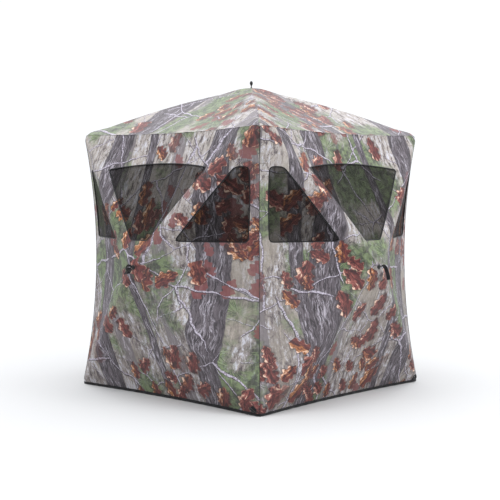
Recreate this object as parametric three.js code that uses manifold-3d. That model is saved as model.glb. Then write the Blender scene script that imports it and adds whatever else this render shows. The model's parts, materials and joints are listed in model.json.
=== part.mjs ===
// Pop up ground blind: a fabric cabin of four walls and a roof. Every face is a shallow pyramid that is
// held open by a hub in its middle and four sprung poles, which run from the hub to the corners of the face.
// Millimetres, +Z up. The origin is on the ground, in the middle of the footprint.

import * as THREE from 'three';
import { mergeVertices } from 'three/addons/utils/BufferGeometryUtils.js';
import Module from 'manifold-3d';

const wasm = await Module();
wasm.setup();

// Driving dimensions of the cabin
const TOP_HALF = 775; // half the width between the corners at the eaves
const FOOT_HALF = 789; // half the width between the corners on the ground
const WALL_HEIGHT = 1645;
const ROOF_RISE = 308;
const BULGE = 256; // how far a wall's hub stands out of the wall's plane
const HUB_Z = WALL_HEIGHT / 2;
const CORNER_IN = 59; // the upright edges are drawn in this far at mid height
const EAVE_IN = 40; // the eaves are drawn in, and sag, between the corners
const EAVE_SAG = 18;
const HEM_IN = 40; // the hem is drawn in between the corners
const POLE_BOW = 33; // how far a sprung pole bends out at the middle of its length

// Skins
const SKIN = 3;
const GAP = 0.5;
const SEAM = SKIN + GAP; // the skins of two faces stop this far short of their shared edge
const HEM_HEIGHT = 18;
const HEM_THICK = 5;
const EDGE_SEGMENTS = 4;
const SHELL_LEVELS = [0, 0.3, 0.65];

// Windows, in the wall's own across and up directions
const WINDOW_TOP = 1411;
const WINDOW_SILL = 984;
const WINDOW_ARCH = 58; // height of the control point of the middle window's arched top
const MIDDLE_TOP_HALF = 432;
const MIDDLE_SILL_HALF = 72;
const SIDE_TOP = [631, 697];
const SIDE_SILL = [262, 664];
const WINDOW_RADIUS = 22;
const NET_DEPTH = [SKIN + 1, SKIN + 3];
const NET_MARGIN = 28;
const NET_HALF = [712, 732]; // half width of the net at its bottom and at its top

// Hubs and poles
const HUB_SET = 34; // depth of the hub's middle plane behind the fabric's peak
const HUB_RADIUS = 44;
const HUB_THICK = 20;
const SLOT_WIDTH = 14;
const SLOT_INNER = 20;
const PIVOT_RADIUS = 30; // distance of a pole's pivot from the hub's axis
const POLE_RADIUS = 5;
const POLE_STEPS = 6;
const POLE_SIDES = 6;
const POLE_TAIL = 6; // the pole reaches this far inward past its pivot
const TIP_SHORT = 108; // the pole's tip stops this far short of the corner
const TIP_DEPTH = 22;
const BOOT_SIZE = 42;
const BOOT_SET = 14;

// Pulls, stake tabs and the door
const STRAP_WIDTH = 22;
const STRAP_THICK = 4;
const STRAP_EYE = 5;
const STRAP_OUT = 12; // distance of the strap's hinge from the fabric's peak
const STAKE_TAB = 40;
const STAKE_TAB_THICK = 3;
const STAKE_TAB_PLACE = 748; // across the wall, from its middle
const DOOR_HINGE = 672; // the door's hinge edge and latch edge, measured across the wall
const DOOR_LATCH = 190;
const DOOR_HINGE_Z = [205, 1453];
const DOOR_LATCH_Z = [707, 941];
const DOOR_RADIUS = 60;
const DOOR_GAP = 3;
const TAPE_LAP = 12;
const ROUND = 16;

const COLOURS = {
  camo: 0xa39a84,
  net: 0x4b483f,
  black: 0x17171a,
  fibreglass: 0x8d8a80,
  zip: 0x1d1d20,
};

function material(colour, roughness, metalness = 0) {
  return new THREE.MeshStandardMaterial({ color: COLOURS[colour], roughness, metalness, side: THREE.DoubleSide });
}

// ---- solids ----

function toManifold(geometry) {
  const bare = geometry.clone();
  bare.deleteAttribute('normal');
  bare.deleteAttribute('uv');
  const merged = mergeVertices(bare, 1e-4);
  return new wasm.Manifold(new wasm.Mesh({
    numProp: 3,
    vertProperties: new Float32Array(merged.attributes.position.array),
    triVerts: new Uint32Array(merged.index.array),
  }));
}

function toGeometry(solid) {
  const mesh = solid.getMesh();
  const geometry = new THREE.BufferGeometry();
  geometry.setAttribute('position', new THREE.BufferAttribute(new Float32Array(mesh.vertProperties), 3));
  geometry.setIndex(new THREE.BufferAttribute(new Uint32Array(mesh.triVerts), 1));
  return geometry;
}

function indexed(points, triangles) {
  const geometry = new THREE.BufferGeometry();
  geometry.setAttribute('position', new THREE.Float32BufferAttribute(points.flatMap((v) => [v.x, v.y, v.z]), 3));
  geometry.setIndex(triangles);
  return geometry;
}

function named(name, geometry, surface) {
  const mesh = new THREE.Mesh(geometry, surface);
  mesh.name = name;
  return mesh;
}

// A closed outline with round corners, from its corner points in order.
function roundedShape(corners, radius) {
  const shape = new THREE.Shape();
  corners.forEach((corner, i) => {
    const before = corners[(i + corners.length - 1) % corners.length];
    const after = corners[(i + 1) % corners.length];
    const start = corner.clone().add(before.clone().sub(corner).setLength(radius));
    const end = corner.clone().add(after.clone().sub(corner).setLength(radius));
    if (i === 0) shape.moveTo(start.x, start.y);
    else shape.lineTo(start.x, start.y);
    shape.quadraticCurveTo(corner.x, corner.y, end.x, end.y);
  });
  shape.closePath();
  return shape;
}

// An outline drawn across and up the front wall, as a solid that reaches through that wall.
function wallPrism(shape) {
  const reach = 2 * FOOT_HALF;
  const geometry = new THREE.ExtrudeGeometry(shape, { depth: reach, bevelEnabled: false, curveSegments: 3 });
  return toManifold(geometry.rotateX(Math.PI / 2));
}

// ---- the faces ----

const SIDES = ['bottom', 'right', 'top', 'left'];

function halfWidth(z) {
  return FOOT_HALF + ((TOP_HALF - FOOT_HALF) * z) / WALL_HEIGHT;
}

// A point on an edge of the front wall: across, up and out of the wall's plane. q runs from -1 to 1 along it.
function wallEdge(side, q) {
  const droop = 1 - q * q;
  const low = HEM_HEIGHT + GAP;
  const high = WALL_HEIGHT - SEAM;
  if (side === 'top') return [(TOP_HALF - SEAM) * q, high - EAVE_SAG * droop, -EAVE_IN * droop];
  if (side === 'bottom') return [(halfWidth(low) - SEAM) * q, low, -HEM_IN * droop];
  const z = low + ((high - low) * (1 + q)) / 2;
  const across = halfWidth(z) - SEAM - CORNER_IN * droop;
  return [side === 'left' ? -across : across, z, -CORNER_IN * droop];
}

function bow(p, q) {
  return POLE_BOW * 4 * p * (1 - p) * q * q;
}

// p runs from 0 at the edge of the face to 1 at its peak; depth is measured back into the cabin.
function wallPoint(side, q, p, depth) {
  const [across, up, out] = wallEdge(side, q);
  const z = (1 - p) * up + p * HUB_Z;
  const n = (1 - p) * out + p * BULGE + bow(p, q) - depth;
  return new THREE.Vector3((1 - p) * across, -(halfWidth(z) + n), z);
}

function roofPoint(side, q, p, depth) {
  const droop = 1 - q * q;
  const out = TOP_HALF - EAVE_IN * droop;
  const across = TOP_HALF * q;
  const edges = { bottom: [across, -out], right: [out, across], top: [across, out], left: [-out, across] };
  const [x, y] = edges[side];
  const z = (1 - p) * (WALL_HEIGHT - EAVE_SAG * droop) + p * (WALL_HEIGHT + ROOF_RISE) + bow(p, q) - depth;
  return new THREE.Vector3((1 - p) * x, (1 - p) * y, z);
}

// A skin over a whole face, between two depths.
function shell(point, [outer, inner]) {
  const rim = [];
  for (const side of SIDES) {
    for (let i = 0; i < EDGE_SEGMENTS; i++) {
      const q = -1 + (2 * i) / EDGE_SEGMENTS;
      rim.push([side, side === 'bottom' || side === 'right' ? q : -q]);
    }
  }
  const points = [];
  const triangles = [];
  const size = rim.length * SHELL_LEVELS.length + 1;
  for (const depth of [outer, inner]) {
    for (const p of SHELL_LEVELS) rim.forEach(([side, q]) => points.push(point(side, q, p, depth)));
    points.push(point('top', 0, 1, depth));
  }
  const add = (a, b, c, flip) => triangles.push(...(flip ? [a, c, b] : [a, b, c]));
  for (let i = 0; i < rim.length; i++) {
    const next = (i + 1) % rim.length;
    [0, size].forEach((base, flip) => {
      for (let level = 0; level + 1 < SHELL_LEVELS.length; level++) {
        const a = base + level * rim.length;
        const b = a + rim.length;
        add(a + i, a + next, b + next, flip);
        add(a + i, b + next, b + i, flip);
      }
      const last = base + (SHELL_LEVELS.length - 1) * rim.length;
      add(last + i, last + next, base + size - 1, flip);
    });
    add(i, size + i, size + next, false);
    add(i, size + next, next, false);
  }
  return indexed(points, triangles);
}

// ---- windows, nets and the door, all drawn on the front wall ----

function middleWindow() {
  const shape = new THREE.Shape();
  shape.moveTo(-MIDDLE_SILL_HALF, WINDOW_SILL);
  shape.lineTo(MIDDLE_SILL_HALF, WINDOW_SILL);
  shape.lineTo(MIDDLE_TOP_HALF, WINDOW_TOP);
  shape.quadraticCurveTo(0, WINDOW_TOP + WINDOW_ARCH, -MIDDLE_TOP_HALF, WINDOW_TOP);
  shape.closePath();
  return shape;
}

function sideWindow(sign) {
  const corners = [
    new THREE.Vector2(sign * SIDE_SILL[0], WINDOW_SILL),
    new THREE.Vector2(sign * SIDE_SILL[1], WINDOW_SILL),
    new THREE.Vector2(sign * SIDE_TOP[1], WINDOW_TOP),
    new THREE.Vector2(sign * SIDE_TOP[0], WINDOW_TOP),
  ];
  return roundedShape(sign > 0 ? corners : corners.reverse(), WINDOW_RADIUS);
}

// The door's outline, made larger or smaller by grow.
function doorShape(grow) {
  const corners = [
    new THREE.Vector2(DOOR_LATCH - grow, DOOR_LATCH_Z[0] - grow),
    new THREE.Vector2(DOOR_HINGE + grow, DOOR_HINGE_Z[0] - 2 * grow),
    new THREE.Vector2(DOOR_HINGE + grow, DOOR_HINGE_Z[1] + 2 * grow),
    new THREE.Vector2(DOOR_LATCH - grow, DOOR_LATCH_Z[1] + grow),
  ];
  return roundedShape(corners, DOOR_RADIUS);
}

function netShape(withDoor) {
  const low = WINDOW_SILL - NET_MARGIN;
  const high = WINDOW_TOP + WINDOW_ARCH / 2 + NET_MARGIN / 2;
  const shape = new THREE.Shape();
  shape.moveTo(-NET_HALF[0], low);
  shape.lineTo(withDoor ? MIDDLE_SILL_HALF + NET_MARGIN : NET_HALF[0], low);
  shape.lineTo(withDoor ? MIDDLE_TOP_HALF + NET_MARGIN : NET_HALF[1], high);
  shape.lineTo(-NET_HALF[1], high);
  shape.closePath();
  return shape;
}

function wallSkin(withDoor) {
  let skin = toManifold(shell(wallPoint, [0, SKIN]));
  const holes = [middleWindow(), sideWindow(-1), withDoor ? doorShape(DOOR_GAP) : sideWindow(1)];
  for (const hole of holes) skin = skin.subtract(wallPrism(hole));
  return toGeometry(skin);
}

function windowNet(withDoor) {
  const sheet = toManifold(shell(wallPoint, NET_DEPTH));
  return toGeometry(sheet.intersect(wallPrism(netShape(withDoor))));
}

function doorPanel() {
  return toGeometry(toManifold(shell(wallPoint, [0, SKIN])).intersect(wallPrism(doorShape(0))));
}

function doorTape() {
  const sheet = toManifold(shell(wallPoint, NET_DEPTH));
  const ring = sheet.intersect(wallPrism(doorShape(TAPE_LAP)));
  return toGeometry(ring.subtract(wallPrism(doorShape(-TAPE_LAP))));
}

// The slider lies on the outside, beside the low end of the zip's upright leg.
const SLIDER = { q: -0.508, p: 0.76, width: 14, length: 20, tab: 9, tabLength: 26, thick: 4, lift: 14 };

function zipSlider() {
  const { width, length, tab, tabLength, thick } = SLIDER;
  const shape = new THREE.Shape();
  shape.moveTo(-width / 2, 0);
  shape.lineTo(-tab / 2, 0);
  shape.lineTo(-tab / 2, -tabLength);
  shape.lineTo(tab / 2, -tabLength);
  shape.lineTo(tab / 2, 0);
  shape.lineTo(width / 2, 0);
  shape.lineTo(width / 2, length);
  shape.lineTo(-width / 2, length);
  shape.closePath();
  const geometry = new THREE.ExtrudeGeometry(shape, { depth: thick, bevelEnabled: false });
  geometry.rotateX(Math.PI / 2);
  const place = wallPoint('right', SLIDER.q, SLIDER.p, 0);
  return geometry.translate(place.x, place.y - SLIDER.lift, place.z);
}

// ---- hubs and poles ----

// A hub lies in its own XY plane with +Z out of the face; slots is the list of its pole directions.
function hub(slots) {
  const disc = new THREE.CylinderGeometry(HUB_RADIUS, HUB_RADIUS, HUB_THICK, ROUND).rotateX(Math.PI / 2);
  const boss = new THREE.CylinderGeometry(7, SLOT_INNER - 1, HUB_THICK, ROUND / 2).rotateX(Math.PI / 2);
  let solid = toManifold(disc).add(toManifold(boss.translate(0, 0, HUB_THICK * 0.75)));
  for (const angle of slots) {
    const slot = new THREE.BoxGeometry(HUB_RADIUS, SLOT_WIDTH, 3 * HUB_THICK);
    slot.translate(SLOT_INNER + HUB_RADIUS / 2, 0, 0).rotateZ(angle);
    solid = solid.subtract(toManifold(slot));
  }
  return toGeometry(solid);
}

// A sprung pole from the hub to a corner. reach is the distance to the corner and place maps the distance
// from the hub's axis and the height above the face's plane to a point.
function pole(reach, peak, place) {
  const path = [];
  const from = PIVOT_RADIUS - POLE_TAIL;
  const to = reach - TIP_SHORT;
  for (let i = 0; i <= POLE_STEPS; i++) {
    const r = from + ((to - from) * i) / POLE_STEPS;
    const p = 1 - r / reach;
    const depth = TIP_DEPTH + (HUB_SET - TIP_DEPTH) * p;
    path.push(place(r, p * peak + bow(p, 1) - depth));
  }
  const section = new THREE.Shape();
  section.absarc(0, 0, POLE_RADIUS, 0, 2 * Math.PI);
  return new THREE.ExtrudeGeometry(section, {
    extrudePath: new THREE.CatmullRomCurve3(path),
    steps: POLE_STEPS,
    curveSegments: POLE_SIDES / 2,
    bevelEnabled: false,
  });
}

// ---- pulls, boots, tabs and hem ----

// The strap's side view: an eye round its hinge, a short rise and then the hanging grip.
function pullStrap() {
  const line = [[0, 0], [10, 12], [22, 12], [30, -2], [31, -30], [28, -70], [27, -112]];
  const thick = [1, 1, 1, 1, 1, 1.9, 1.9].map((k) => (k * STRAP_THICK) / 2);
  const offset = (sign) => line.slice(1).map(([x, y], i) => {
    const [ax, ay] = line[i];
    const [bx, by] = line[Math.min(i + 2, line.length - 1)];
    const length = Math.hypot(bx - ax, by - ay);
    const reach = (sign * thick[i + 1]) / length;
    return new THREE.Vector2(x - (by - ay) * reach, y + (bx - ax) * reach);
  });
  const shape = new THREE.Shape();
  shape.absarc(0, 0, STRAP_EYE, 0.6, 2 * Math.PI + 0.35 - 1.2, false);
  for (const point of offset(-1)) shape.lineTo(point.x, point.y);
  for (const point of offset(1).reverse()) shape.lineTo(point.x, point.y);
  shape.closePath();
  const options = { depth: STRAP_WIDTH, bevelEnabled: false, curveSegments: 6 };
  const geometry = new THREE.ExtrudeGeometry(shape, options).translate(0, 0, -STRAP_WIDTH / 2);
  return geometry.rotateX(Math.PI / 2).rotateZ(-Math.PI / 2);
}

function roofPull() {
  const profile = [[0, 0], [7, 0], [7, 3], [3, 5], [2.5, 14], [6, 20], [10, 30], [9, 40], [5, 46], [0, 48]];
  return new THREE.LatheGeometry(profile.map(([r, z]) => new THREE.Vector2(r, z)), 10).rotateX(Math.PI / 2);
}

// A moulded corner boot that fills the corner behind the skins: a block with its three inner faces cut back.
function cornerBoot(atTop) {
  const block = new THREE.BoxGeometry(BOOT_SIZE, BOOT_SIZE, BOOT_SIZE);
  const cutter = new THREE.BoxGeometry(3 * BOOT_SIZE, 3 * BOOT_SIZE, 3 * BOOT_SIZE);
  const inward = new THREE.Vector3(1, 1, atTop ? -1 : 1).normalize();
  cutter.applyQuaternion(new THREE.Quaternion().setFromUnitVectors(new THREE.Vector3(0, 0, 1), inward));
  cutter.translate(...inward.multiplyScalar(1.5 * BOOT_SIZE + BOOT_SIZE * 0.1).toArray());
  return toGeometry(toManifold(block).subtract(toManifold(cutter)));
}

// A webbing tab with a pointed top, sewn on the outside above the hem, beside a corner.
function stakeTab() {
  const low = HEM_HEIGHT + 2;
  const shape = new THREE.Shape();
  shape.moveTo(STAKE_TAB_PLACE - STAKE_TAB / 2, low);
  shape.lineTo(STAKE_TAB_PLACE + STAKE_TAB / 2, low);
  shape.lineTo(STAKE_TAB_PLACE + STAKE_TAB / 2, low + STAKE_TAB * 0.55);
  shape.lineTo(STAKE_TAB_PLACE, low + STAKE_TAB);
  shape.lineTo(STAKE_TAB_PLACE - STAKE_TAB / 2, low + STAKE_TAB * 0.55);
  shape.closePath();
  const sheet = toManifold(shell(wallPoint, [-GAP - STAKE_TAB_THICK, -GAP]));
  return toGeometry(sheet.intersect(wallPrism(shape)));
}

function hemBinding() {
  const outline = (inset) => {
    const points = [];
    for (let k = 0; k < 4; k++) {
      for (let i = 0; i < EDGE_SEGMENTS; i++) {
        const q = -1 + (2 * i) / EDGE_SEGMENTS;
        const out = FOOT_HALF - HEM_IN * (1 - q * q) - inset;
        points.push(new THREE.Vector2((FOOT_HALF - inset) * q, -out).rotateAround(new THREE.Vector2(), (k * Math.PI) / 2));
      }
    }
    return points;
  };
  const shape = new THREE.Shape(outline(0));
  shape.holes.push(new THREE.Path(outline(HEM_THICK)));
  return new THREE.ExtrudeGeometry(shape, { depth: HEM_HEIGHT, bevelEnabled: false });
}

// ---- assembly ----

const WALLS = ['front', 'right', 'back', 'left'];
const POSTS = ['front_left', 'front_right', 'back_right', 'back_left'];
const CORNERS = ['upper_right', 'upper_left', 'lower_left', 'lower_right'];
const DOOR_WALL = 'back';

function wall(name, tabPost) {
  const group = new THREE.Group();
  const withDoor = name === DOOR_WALL;
  group.add(named(`${name}_wall_skin`, wallSkin(withDoor), material('camo', 0.85)));
  group.add(named(`${name}_window_net`, windowNet(withDoor), material('net', 0.9)));
  group.add(named(`${tabPost}_stake_tab`, stakeTab(), material('black', 0.8)));

  const peak = -(halfWidth(HUB_Z) + BULGE);
  const corners = [[TOP_HALF, WALL_HEIGHT], [-TOP_HALF, WALL_HEIGHT], [-FOOT_HALF, HEM_HEIGHT], [FOOT_HALF, HEM_HEIGHT]];
  const angles = corners.map(([x, z]) => Math.atan2(z - HUB_Z, x));
  const hubMesh = named(`${name}_hub`, hub(angles), material('black', 0.5));
  hubMesh.rotation.x = Math.PI / 2;
  hubMesh.position.set(0, peak + HUB_SET, HUB_Z);
  group.add(hubMesh);
  corners.forEach(([x, z], i) => {
    const place = (r, n) => {
      const up = HUB_Z + r * Math.sin(angles[i]);
      return new THREE.Vector3(r * Math.cos(angles[i]), -(halfWidth(up) + n), up);
    };
    const rod = pole(Math.hypot(x, z - HUB_Z), BULGE, place);
    group.add(named(`${name}_pole_${CORNERS[i]}`, rod, material('fibreglass', 0.45)));
  });

  const strap = named(`${name}_pull_strap`, pullStrap(), material('black', 0.8));
  strap.position.set(0, peak - STRAP_OUT, HUB_Z);
  group.add(strap);

  if (withDoor) {
    group.add(named('door_panel', doorPanel(), material('camo', 0.85)));
    group.add(named('door_zip_tape', doorTape(), material('zip', 0.7)));
    group.add(named('door_zip_slider', zipSlider(), material('black', 0.4)));
  }
  return group;
}

function roof() {
  const group = new THREE.Group();
  group.add(named('roof_skin', shell(roofPoint, [0, SKIN]), material('camo', 0.85)));
  const peak = WALL_HEIGHT + ROOF_RISE;
  const angles = [1, 3, 5, 7].map((k) => (k * Math.PI) / 4);
  const hubMesh = named('roof_hub', hub(angles), material('black', 0.5));
  hubMesh.position.z = peak - HUB_SET;
  group.add(hubMesh);
  const ends = ['back_right', 'back_left', 'front_left', 'front_right'];
  angles.forEach((angle, i) => {
    const place = (r, n) => new THREE.Vector3(r * Math.cos(angle), r * Math.sin(angle), WALL_HEIGHT + n);
    const rod = pole(TOP_HALF * Math.SQRT2, ROOF_RISE, place);
    group.add(named(`roof_pole_${ends[i]}`, rod, material('fibreglass', 0.45)));
  });
  const pull = named('roof_pull', roofPull(), material('black', 0.5));
  pull.position.z = peak + GAP;
  group.add(pull);
  return group;
}

// The two boots of the corner between two walls, in the front left corner's place.
function corner(name) {
  const group = new THREE.Group();
  for (const [level, half, height] of [['upper', TOP_HALF, WALL_HEIGHT], ['lower', FOOT_HALF, 0]]) {
    const boot = named(`${level}_${name}_corner_boot`, cornerBoot(level === 'upper'), material('black', 0.6));
    const set = BOOT_SET + BOOT_SIZE / 2;
    boot.position.set(-half + set, -half + set, level === 'upper' ? height - set : HEM_HEIGHT + set);
    group.add(boot);
  }
  return group;
}

const blind = new THREE.Group();
WALLS.forEach((name, k) => {
  const turn = (k * Math.PI) / 2;
  const side = wall(name, POSTS[(k + 1) % 4]);
  side.rotation.z = turn;
  blind.add(side);
  const post = corner(POSTS[k]);
  post.rotation.z = turn;
  blind.add(post);
});
blind.add(roof());
blind.add(named('hem_binding', hemBinding(), material('black', 0.8)));

export default blind;
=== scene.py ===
# Pop up ground blind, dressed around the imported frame: printed cloth faces, window nets, webbing, sprung
# poles, hubs and the zipped door. Metres, +Z up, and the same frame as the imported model.

import json
import math
from functools import cache

import bmesh
import bpy
import numpy as np
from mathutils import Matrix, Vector, geometry, noise


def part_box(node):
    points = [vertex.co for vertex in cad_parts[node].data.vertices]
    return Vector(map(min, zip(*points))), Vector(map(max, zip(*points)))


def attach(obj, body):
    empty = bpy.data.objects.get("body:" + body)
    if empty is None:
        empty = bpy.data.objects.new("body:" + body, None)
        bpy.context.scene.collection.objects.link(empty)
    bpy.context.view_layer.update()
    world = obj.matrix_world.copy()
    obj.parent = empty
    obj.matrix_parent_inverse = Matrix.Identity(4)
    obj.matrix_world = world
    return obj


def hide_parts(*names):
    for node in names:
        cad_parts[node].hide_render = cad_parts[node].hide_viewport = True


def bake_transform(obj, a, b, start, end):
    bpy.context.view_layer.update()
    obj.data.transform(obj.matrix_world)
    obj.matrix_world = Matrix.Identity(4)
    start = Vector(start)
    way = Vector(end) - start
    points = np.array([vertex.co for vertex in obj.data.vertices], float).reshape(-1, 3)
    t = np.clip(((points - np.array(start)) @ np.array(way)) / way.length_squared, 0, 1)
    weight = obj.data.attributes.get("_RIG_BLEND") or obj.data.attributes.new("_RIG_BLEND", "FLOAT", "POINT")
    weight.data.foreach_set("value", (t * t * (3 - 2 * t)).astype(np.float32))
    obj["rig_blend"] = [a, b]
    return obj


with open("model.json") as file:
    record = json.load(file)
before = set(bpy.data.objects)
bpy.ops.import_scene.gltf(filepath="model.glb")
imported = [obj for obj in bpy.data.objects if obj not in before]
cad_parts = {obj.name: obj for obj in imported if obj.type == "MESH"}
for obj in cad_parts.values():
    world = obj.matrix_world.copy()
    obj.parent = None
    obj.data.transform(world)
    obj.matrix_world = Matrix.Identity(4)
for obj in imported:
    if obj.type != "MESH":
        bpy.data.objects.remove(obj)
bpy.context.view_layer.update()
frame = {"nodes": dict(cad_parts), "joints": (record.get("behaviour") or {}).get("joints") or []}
scene = bpy.context.scene
joints = {joint["name"]: joint for joint in frame["joints"]}

# ---- driving dimensions, the same as the frame's ----

TOP_HALF = 0.775
FOOT_HALF = 0.789
WALL_HEIGHT = 1.645
ROOF_RISE = 0.308
BULGE = 0.256
HUB_Z = WALL_HEIGHT / 2
CORNER_IN = 0.059
EAVE_IN = 0.040
EAVE_SAG = 0.018
HEM_IN = 0.040
POLE_BOW = 0.033
HEM_HEIGHT = 0.018
HUB_SET = 0.034

WINDOW_TOP = 1.411
WINDOW_SILL = 0.984
WINDOW_ARCH = 0.058
MIDDLE_TOP_HALF = 0.432
MIDDLE_SILL_HALF = 0.072
SIDE_TOP = (0.631, 0.697)
SIDE_SILL = (0.262, 0.664)
NET_HALF = (0.712, 0.732)
NET_MARGIN = 0.028
DOOR_HINGE = 0.672
DOOR_LATCH = 0.190
DOOR_HINGE_Z = (0.205, 1.453)
DOOR_LATCH_Z = (0.707, 0.941)
DOOR_RADIUS = 0.060
DOOR_GAP = 0.003

CELL = 0.014  # spacing of the cloth's mesh
CLOTH = 0.0012
NET_THICK = 0.0008
NET_DEPTH = 0.005
PEAK_ROUND = 0.03  # the peak is rounded over the hub, as a share of the face's reach
GRID = 0.008
RIDGE_ROUND = 0.034  # how far the cloth spreads its bend over a pole
RIDGE_FADE = 0.12
TIP_ROUND = 0.045
TIP_PULL = 0.010
PRINT_STEP = 0.25  # from one wall's stretch of the printed cloth to the next

WALLS = ["front", "right", "back", "left"]
POSTS = ["front_left", "front_right", "back_right", "back_left"]
CORNERS = ["upper_right", "upper_left", "lower_left", "lower_right"]
DOOR_WALL = WALLS.index("back")


# ---- the faces: wall 0 to 3, or None for the roof ----


def half_width(z):
    return FOOT_HALF + (TOP_HALF - FOOT_HALF) * z / WALL_HEIGHT


def wall_edge(side, q):
    """A wall's edge: across, up and out of the wall's plane. q runs from -1 to 1 along it."""
    droop = 1 - q * q
    low, high = HEM_HEIGHT / 2, WALL_HEIGHT
    if side == "top":
        return TOP_HALF * q, high - EAVE_SAG * droop, -EAVE_IN * droop
    if side == "bottom":
        return half_width(low) * q, low + 0 * q, -HEM_IN * droop
    z = low + (high - low) * (1 + q) / 2
    across = half_width(z) - CORNER_IN * droop
    return (-across if side == "left" else across), z, -CORNER_IN * droop


def roof_edge(side, q):
    """The roof's edge: x, y and height over the eaves' corners."""
    droop = 1 - q * q
    out = TOP_HALF - EAVE_IN * droop
    across = TOP_HALF * q
    places = {"bottom": (across, -out), "right": (out, across), "top": (across, out), "left": (-out, across)}
    return *places[side], -EAVE_SAG * droop


def smooth(x):
    x = np.clip(x, 0, 1)
    return x * x * (3 - 2 * x)


class Face:
    """One face of the cabin, drawn in its own plane: s across it and t up it."""

    def __init__(self, edge, centre, peak):
        self.edge = edge
        self.centre = np.array(centre)
        self.peak = peak
        q = np.linspace(-1, 1, 257)
        rows = []
        for side in ("bottom", "right", "top", "left"):
            s, t, out = edge(side, q)
            s, t = s - centre[0], t - centre[1]
            rows.append(np.stack([np.arctan2(t, s), np.hypot(s, t), out, q * q], 1))
        rows = np.concatenate(rows)
        self.rim = rows[np.argsort(rows[:, 0])]
        self.soften()

    def polar(self, s, t):
        ds, dt = s - self.centre[0], t - self.centre[1]
        angle = np.arctan2(dt, ds)
        at, *columns = self.rim.T
        reach, out, q2 = (np.interp(angle, at, column, period=2 * math.pi) for column in columns)
        return np.hypot(ds, dt) / reach, out, q2

    def taut(self, s, t):
        """The height of cloth pulled tight over the poles, and its share of the hub's travel."""
        rho, out, q2 = self.polar(s, t)
        p = 1 - rho
        top = (1 - np.sqrt(rho * rho + (PEAK_ROUND * p) ** 2)) / (1 - PEAK_ROUND)
        lift = top * self.peak + POLE_BOW * 4 * np.clip(p, 0, 1) * rho * q2
        return rho * out + lift, lift / self.peak

    def soften(self):
        """Works out, on a grid, how far the cloth rounds off its ridges over the poles."""
        half = TOP_HALF + 0.10
        self.axis = np.arange(-half, half, GRID)
        s, t = np.meshgrid(self.axis + self.centre[0], self.axis + self.centre[1], indexing="ij")
        rho = np.clip(self.polar(s, t)[0], 0, 1)
        mask = smooth((1 - rho) * TOP_HALF / RIDGE_FADE) * smooth(rho * TOP_HALF / RIDGE_FADE - 0.3)
        reach = int(3 * RIDGE_ROUND / GRID)
        kernel = np.exp(-0.5 * (np.arange(-reach, reach + 1) * GRID / RIDGE_ROUND) ** 2)
        kernel /= kernel.sum()
        self.rounding = []
        for values in self.taut(s, t):
            blurred = np.pad(values, reach, mode="edge")
            for axis in (0, 1):
                blurred = np.apply_along_axis(np.convolve, axis, blurred, kernel, "valid")
            self.rounding.append(mask * (blurred - values))

    def rounded_off(self, layer, s, t):
        limit = len(self.axis) - 1.001
        x, y = (np.clip((v - c - self.axis[0]) / GRID, 0, limit) for v, c in zip((s, t), self.centre))
        i, j = x.astype(int), y.astype(int)
        x, y = x - i, y - j
        grid = self.rounding[layer]
        low = grid[i, j] * (1 - x) + grid[i + 1, j] * x
        high = grid[i, j + 1] * (1 - x) + grid[i + 1, j + 1] * x
        return self.taut(s, t)[layer] + low * (1 - y) + high * y

    def height(self, s, t):
        return self.rounded_off(0, s, t)

    def pop(self, s, t):
        """The share of the hub's travel that a point of the cloth makes."""
        return np.clip(self.rounded_off(1, s, t), 0, 1)

    def outline(self):
        """The face's outline, anticlockwise."""
        points = []
        for side, sign in (("bottom", 1), ("right", 1), ("top", -1), ("left", -1)):
            q = np.linspace(-1, 1, int(2 * TOP_HALF / CELL) + 1)[:-1] * sign
            s, t, _ = self.edge(side, q)
            points.append(np.stack([s, t], 1))
        return np.concatenate(points)

    def diagonals(self):
        """The four lines from the face's middle to its corners, over the poles."""
        lines = []
        for side, q in (("bottom", -1.0), ("bottom", 1.0), ("top", 1.0), ("top", -1.0)):
            reach = np.array(self.edge(side, q)[:2]) - self.centre
            count = int(np.linalg.norm(reach) / CELL)
            lines.append(self.centre + reach * np.linspace(0, 1, count + 1)[1:-1, None])
        return lines


wall_face = Face(wall_edge, (0.0, HUB_Z), BULGE)
roof_face = Face(roof_edge, (0.0, 0.0), ROOF_RISE)


def face_of(k):
    return roof_face if k is None else wall_face


def face_name(k):
    return "roof" if k is None else WALLS[k]


def turned(points, k):
    """Points of the front wall, turned to wall k."""
    c, s = round(math.cos(k * math.pi / 2)), round(math.sin(k * math.pi / 2))
    x, y, z = np.transpose(points)
    return np.stack([c * x - s * y, s * x + c * y, z], 1)


def soften_tips(points):
    """The cloth is pulled round the corner boots, so the eight tips of the cabin are blunt."""
    moved = points.copy()
    for sx in (-1, 1):
        for sy in (-1, 1):
            for half, z, down in ((TOP_HALF, WALL_HEIGHT, -0.7), (FOOT_HALF, 0.0, 0.0)):
                near = np.linalg.norm(points - (sx * half, sy * half, z), axis=1)
                share = np.clip(1 - near / TIP_ROUND, 0, 1) ** 1.5
                moved += share[:, None] * TIP_PULL * np.array([-sx, -sy, down])
    return moved


def place(k, points, depth):
    """Points of a face in the cabin, depth inside its smooth cloth."""
    s, t = np.transpose(points)
    out = face_of(k).height(s, t) - depth
    if k is None:
        return soften_tips(np.stack([s, t, WALL_HEIGHT + out], 1))
    return soften_tips(turned(np.stack([s, -(half_width(t) + out), t], 1), k))


# ---- outlines on a face ----


def resample(points, step, closed=True):
    """A polyline with even steps."""
    points = np.asarray(points, float)
    if closed:
        points = np.concatenate([points, points[:1]])
    length = np.concatenate([[0], np.cumsum(np.linalg.norm(np.diff(points, axis=0), axis=1))])
    count = max(3, int(round(length[-1] / step)))
    at = np.linspace(0, length[-1], count + 1)[:count if closed else count + 1]
    return np.stack([np.interp(at, length, points[:, i]) for i in (0, 1)], 1)


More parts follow.
